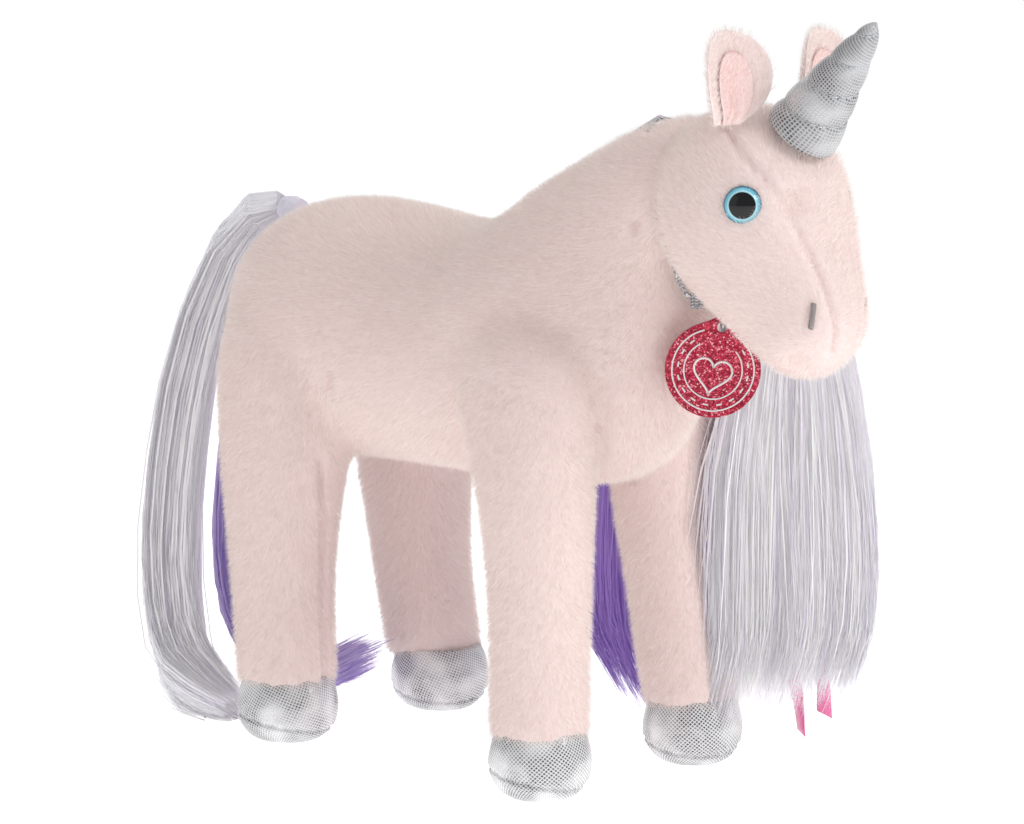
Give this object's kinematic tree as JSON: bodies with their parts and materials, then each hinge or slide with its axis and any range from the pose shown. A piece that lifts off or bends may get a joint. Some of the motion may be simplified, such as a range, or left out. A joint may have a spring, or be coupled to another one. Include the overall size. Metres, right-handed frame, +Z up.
{
  "type": "plush unicorn",
  "caption": "Standing pink plush unicorn with long silky mane and tail, silver cloth horn and hooves, glossy eyes and a round hang tag on a neck cord.",
  "frame": {"origin": "middle of the whole footprint box, on the floor under the soles", "axes": "+Z up, -Y forward along the animal, +X to the animal's left; +Y is the longest extent"},
  "size_m": [0.1512, 0.3678, 0.2874],
  "materials": {
    "plush_pink": "matte",
    "plush_lining": "matte",
    "polyester_filling": "matte",
    "silver_lame": "satin",
    "silver_thread": "satin",
    "eye_gloss": "gloss",
    "washer_plastic": "matte",
    "grey_thread": "matte",
    "hair_white": "satin",
    "hair_purple": "satin",
    "hair_lavender": "satin",
    "weft_tape": "matte",
    "glitter_card": "satin",
    "silver_cord": "satin",
    "pink_satin": "satin"
  },
  "bodies": {
    "torso": {"torso_cover_right": "plush_pink", "torso_cover_left": "plush_pink", "belly_gusset": "plush_pink", "torso_filling": "polyester_filling", "mane_weft": "weft_tape", "neck_cord": "silver_cord", "cord_knot": "silver_cord"},
    "head": {"head_cover_right": "plush_pink", "head_cover_left": "plush_pink", "face_gusset": "plush_pink", "head_filling": "polyester_filling", "horn_cover": "silver_lame", "horn_filling": "polyester_filling", "horn_thread": "silver_thread", "eye_right": "eye_gloss", "eye_left": "eye_gloss", "eye_washer_right": "washer_plastic", "eye_washer_left": "washer_plastic", "nostril_stitch_right": "grey_thread", "nostril_stitch_left": "grey_thread"},
    "ear_right": {"ear_outer_right": "plush_pink", "ear_lining_right": "plush_lining"},
    "ear_left": {"ear_outer_left": "plush_pink", "ear_lining_left": "plush_lining"},
    "mane": {"mane_white": "hair_white", "mane_purple": "hair_purple", "mane_ribbon": "pink_satin", "ribbon_knot": "pink_satin"},
    "tail": {"tail_white": "hair_white", "tail_lavender": "hair_lavender", "tail_wrap": "hair_white"},
    "tag": {"tag_loop": "silver_cord", "tag_front": "glitter_card", "tag_back": "glitter_card"},
    "leg_fore_right": {"leg_cover_fore_right": "plush_pink", "leg_filling_fore_right": "polyester_filling", "hoof_wall_fore_right": "silver_lame", "hoof_sole_fore_right": "silver_lame"},
    "leg_fore_left": {"leg_cover_fore_left": "plush_pink", "leg_filling_fore_left": "polyester_filling", "hoof_wall_fore_left": "silver_lame", "hoof_sole_fore_left": "silver_lame"},
    "leg_hind_right": {"leg_cover_hind_right": "plush_pink", "leg_filling_hind_right": "polyester_filling", "hoof_wall_hind_right": "silver_lame", "hoof_sole_hind_right": "silver_lame"},
    "leg_hind_left": {"leg_cover_hind_left": "plush_pink", "leg_filling_hind_left": "polyester_filling", "hoof_wall_hind_left": "silver_lame", "hoof_sole_hind_left": "silver_lame"}
  },
  "joints": [
    {"name": "leg_fore_right_flex", "type": "hinge", "parent": "torso", "child": "leg_fore_right", "pos_m": [-0.05514, -0.06177, 0.141], "axis": [1, 0, 0], "range_deg": [-12, 12], "stiffness_Nm_per_rad": 0.5},
    {"name": "leg_fore_left_flex", "type": "hinge", "parent": "torso", "child": "leg_fore_left", "pos_m": [0.02886, -0.06177, 0.141], "axis": [1, 0, 0], "range_deg": [-12, 12], "stiffness_Nm_per_rad": 0.5},
    {"name": "leg_hind_right_flex", "type": "hinge", "parent": "torso", "child": "leg_hind_right", "pos_m": [-0.05514, 0.07923, 0.141], "axis": [1, 0, 0], "range_deg": [-12, 6], "stiffness_Nm_per_rad": 0.5},
    {"name": "leg_hind_left_flex", "type": "hinge", "parent": "torso", "child": "leg_hind_left", "pos_m": [0.02886, 0.07923, 0.141], "axis": [1, 0, 0], "range_deg": [-12, 6], "stiffness_Nm_per_rad": 0.5},
    {"name": "head_nod", "type": "hinge", "parent": "torso", "child": "head", "pos_m": [-0.01314, -0.10977, 0.222], "axis": [1, 0, 0], "range_deg": [-6.5, 0], "stiffness_Nm_per_rad": 0.5},
    {"name": "ear_right_flex", "type": "hinge", "parent": "head", "child": "ear_right", "pos_m": [-0.03514, -0.13727, 0.2528], "axis": [0.995, -0.1, 0], "range_deg": [-15, 15], "stiffness_Nm_per_rad": 0.01},
    {"name": "ear_left_flex", "type": "hinge", "parent": "head", "child": "ear_left", "pos_m": [0.00886, -0.13727, 0.2528], "axis": [0.995, 0.1, 0], "range_deg": [-15, 15], "stiffness_Nm_per_rad": 0.01},
    {"name": "mane_lift", "type": "hinge", "parent": "torso", "child": "mane", "pos_m": [-0.00014, -0.05377, 0.24], "axis": [0, -0.9184, 0.3956], "range_deg": [0, 40]},
    {"name": "tail_swing", "type": "hinge", "parent": "torso", "child": "tail", "pos_m": [-0.01314, 0.11923, 0.206], "axis": [1, 0, 0], "range_deg": [0, 30]},
    {"name": "tag_swing", "type": "hinge", "parent": "torso", "child": "tag", "pos_m": [-0.0148, -0.11451, 0.18215], "axis": [-0.7071, 0.7071, 0], "range_deg": [0, 25]}
  ]
}
